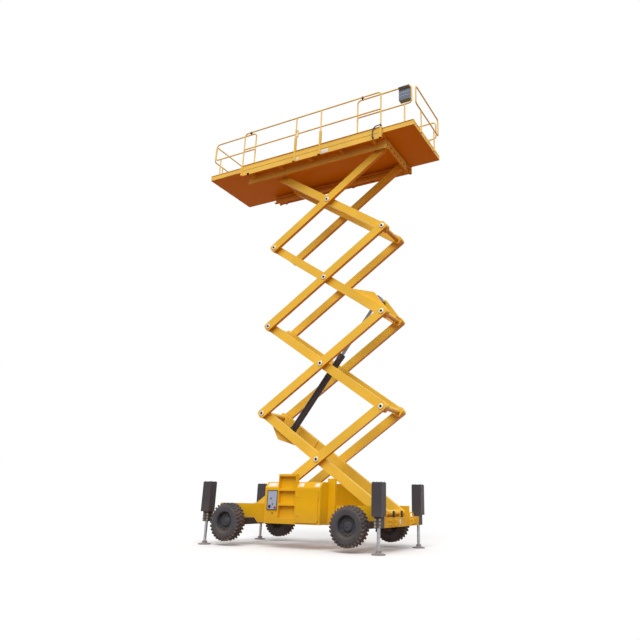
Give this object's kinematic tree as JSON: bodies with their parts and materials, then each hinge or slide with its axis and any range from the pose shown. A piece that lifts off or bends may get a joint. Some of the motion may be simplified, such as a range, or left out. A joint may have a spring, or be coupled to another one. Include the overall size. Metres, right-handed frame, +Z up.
{
  "type": "rough-terrain scissor lift",
  "caption": "Diesel scissor lift raised on stabilisers: wheeled chassis, stacked crossed arms with one lift cylinder, and a railed platform with sliding decks.",
  "frame": {"origin": "on the ground under the middle of the machine's bounding box", "axes": "+Z up, +X towards the steered end with the fixed scissor pivots, -Y the side with the steps"},
  "size_m": [6.288, 2.284, 10.6113],
  "materials": {
    "arm_paint": "satin",
    "chrome": "polished",
    "dark_paint": "satin",
    "engine": "matte",
    "panel": "satin",
    "rail_paint": "gloss",
    "tyre": "matte",
    "yellow_paint": "gloss"
  },
  "bodies": {
    "chassis": {"chassis_frame": "yellow_paint", "end_beams": "yellow_paint", "axles": "dark_paint", "stabiliser_cases": "dark_paint", "near_housing": "yellow_paint", "far_housing": "yellow_paint", "engine_block": "engine", "ground_panel": "panel"},
    "near_cover": {"near_cover": "yellow_paint"},
    "engine_cover": {"engine_cover": "yellow_paint"},
    "knuckle_near": {"knuckle_near": "dark_paint"},
    "knuckle_far": {"knuckle_far": "dark_paint"},
    "barrel": {"cylinder_barrel": "dark_paint"},
    "rod": {"cylinder_rod": "chrome"},
    "platform": {"platform_frame": "yellow_paint", "main_rails": "rail_paint"},
    "gate": {"access_gate": "rail_paint"},
    "left_deck": {"left_deck": "yellow_paint", "left_rails": "rail_paint"},
    "right_deck": {"right_deck": "yellow_paint", "right_rails": "rail_paint", "platform_controls": "panel"},
    "wheel_front_near": {"tyre_front_near": "tyre", "rim_front_near": "dark_paint"},
    "leg_front_near": {"leg_front_near": "chrome", "foot_front_near": "dark_paint"},
    "wheel_front_far": {"tyre_front_far": "tyre", "rim_front_far": "dark_paint"},
    "leg_front_far": {"leg_front_far": "chrome", "foot_front_far": "dark_paint"},
    "wheel_rear_near": {"tyre_rear_near": "tyre", "rim_rear_near": "dark_paint"},
    "leg_rear_near": {"leg_rear_near": "chrome", "foot_rear_near": "dark_paint"},
    "wheel_rear_far": {"tyre_rear_far": "tyre", "rim_rear_far": "dark_paint"},
    "leg_rear_far": {"leg_rear_far": "chrome", "foot_rear_far": "dark_paint"},
    "inner_1": {"inner_frame_1": "arm_paint"},
    "outer_1": {"outer_arms_1": "arm_paint"},
    "inner_2": {"inner_frame_2": "arm_paint"},
    "outer_2": {"outer_arms_2": "arm_paint"},
    "inner_3": {"inner_frame_3": "arm_paint"},
    "outer_3": {"outer_arms_3": "arm_paint"},
    "inner_4": {"inner_frame_4": "arm_paint"},
    "outer_4": {"outer_arms_4": "arm_paint"}
  },
  "joints": [
    {"name": "lift", "type": "hinge", "parent": "chassis", "child": "inner_1", "pos_m": [2.108, 0, 0.722], "axis": [0, 1, 0], "range_deg": [-31.09, 17.61]},
    {"name": "centre_1", "type": "hinge", "parent": "inner_1", "child": "outer_1", "pos_m": [0.56073, 0, 1.78104], "axis": [0, 1, 0], "range_deg": [-35.27, 62.23]},
    {"name": "end_1", "type": "hinge", "parent": "outer_1", "child": "inner_2", "pos_m": [2.108, 0, 2.84009], "axis": [0, 1, 0], "range_deg": [-62.23, 35.27]},
    {"name": "centre_2", "type": "hinge", "parent": "inner_2", "child": "outer_2", "pos_m": [0.56073, 0, 3.89913], "axis": [0, 1, 0], "range_deg": [-35.27, 62.23]},
    {"name": "end_2", "type": "hinge", "parent": "outer_2", "child": "inner_3", "pos_m": [2.108, 0, 4.95817], "axis": [0, 1, 0], "range_deg": [-62.23, 35.27]},
    {"name": "centre_3", "type": "hinge", "parent": "inner_3", "child": "outer_3", "pos_m": [0.56073, 0, 6.01722], "axis": [0, 1, 0], "range_deg": [-35.27, 62.23]},
    {"name": "end_3", "type": "hinge", "parent": "outer_3", "child": "inner_4", "pos_m": [2.108, 0, 7.07626], "axis": [0, 1, 0], "range_deg": [-62.23, 35.27]},
    {"name": "centre_4", "type": "hinge", "parent": "inner_4", "child": "outer_4", "pos_m": [0.56073, 0, 8.1353], "axis": [0, 1, 0], "range_deg": [-35.27, 62.23]},
    {"name": "deck_level", "type": "hinge", "parent": "outer_4", "child": "platform", "pos_m": [2.108, 0, 9.19434], "axis": [0, 1, 0], "range_deg": [-31.14, 17.66]},
    {"name": "cylinder_foot", "type": "hinge", "parent": "inner_1", "child": "barrel", "pos_m": [-0.56855, 0, 2.31768], "axis": [0, -1, 0], "range_deg": [-64.72, 36.68]},
    {"name": "cylinder_stroke", "type": "slide", "parent": "barrel", "child": "rod", "axis": [0.6007, 0, 0.7995], "range_m": [-1.2002, 0.68025]},
    {"name": "steer_near", "type": "hinge", "parent": "chassis", "child": "knuckle_near", "pos_m": [1.655, -0.855, 0.4775], "axis": [0, 0, 1], "range_deg": [-30, 30]},
    {"name": "steer_far", "type": "hinge", "parent": "chassis", "child": "knuckle_far", "pos_m": [1.655, 0.855, 0.4775], "axis": [0, 0, 1], "range_deg": [-30.05, 30.05]},
    {"name": "spin_front_near", "type": "hinge", "parent": "knuckle_near", "child": "wheel_front_near", "pos_m": [1.655, -1.005, 0.4775], "axis": [0, 1, 0], "continuous": true},
    {"name": "spin_rear_near", "type": "hinge", "parent": "chassis", "child": "wheel_rear_near", "pos_m": [-1.345, -1.005, 0.4775], "axis": [0, 1, 0], "continuous": true},
    {"name": "spin_front_far", "type": "hinge", "parent": "knuckle_far", "child": "wheel_front_far", "pos_m": [1.655, 1.005, 0.4775], "axis": [0, 1, 0], "continuous": true},
    {"name": "spin_rear_far", "type": "hinge", "parent": "chassis", "child": "wheel_rear_far", "pos_m": [-1.345, 1.005, 0.4775], "axis": [0, 1, 0], "continuous": true},
    {"name": "leg_front_near", "type": "slide", "parent": "chassis", "child": "leg_front_near", "axis": [0, 0, -1], "range_m": [-0.388, 0]},
    {"name": "leg_front_far", "type": "slide", "parent": "chassis", "child": "leg_front_far", "axis": [0, 0, -1], "range_m": [-0.388, 0]},
    {"name": "leg_rear_near", "type": "slide", "parent": "chassis", "child": "leg_rear_near", "axis": [0, 0, -1], "range_m": [-0.388, 0]},
    {"name": "leg_rear_far", "type": "slide", "parent": "chassis", "child": "leg_rear_far", "axis": [0, 0, -1], "range_m": [-0.388, 0]},
    {"name": "left_slide", "type": "slide", "parent": "platform", "child": "left_deck", "axis": [-1, 0, 0], "range_m": [-1.118, 0]},
    {"name": "right_slide", "type": "slide", "parent": "platform", "child": "right_deck", "axis": [1, 0, 0], "range_m": [-0.817, 0]},
    {"name": "gate", "type": "hinge", "parent": "platform", "child": "gate", "pos_m": [-0.237, -0.94, 10.19434], "axis": [0, 0, 1], "range_deg": [0, 90]},
    {"name": "near_cover", "type": "hinge", "parent": "chassis", "child": "near_cover", "pos_m": [0.972, -1.062, 0.8], "axis": [0, 0, 1], "range_deg": [0, 100]},
    {"name": "engine_cover", "type": "hinge", "parent": "chassis", "child": "engine_cover", "pos_m": [0.35, 1.062, 1.162], "axis": [1, 0, 0], "range_deg": [0, 100]}
  ],
  "couplings": [
    {"joint": "centre_1", "follows": "lift", "ratio": -2},
    {"joint": "end_1", "follows": "lift", "ratio": 2},
    {"joint": "centre_2", "follows": "lift", "ratio": -2},
    {"joint": "end_2", "follows": "lift", "ratio": 2},
    {"joint": "centre_3", "follows": "lift", "ratio": -2},
    {"joint": "end_3", "follows": "lift", "ratio": 2},
    {"joint": "centre_4", "follows": "lift", "ratio": -2},
    {"joint": "deck_level", "follows": "lift", "ratio": 1},
    {"joint": "cylinder_foot", "follows": "lift", "ratio": 2.08},
    {"joint": "cylinder_stroke", "follows": "lift", "m_per_rad": 2.21},
    {"joint": "steer_far", "follows": "steer_near", "ratio": 1}
  ]
}
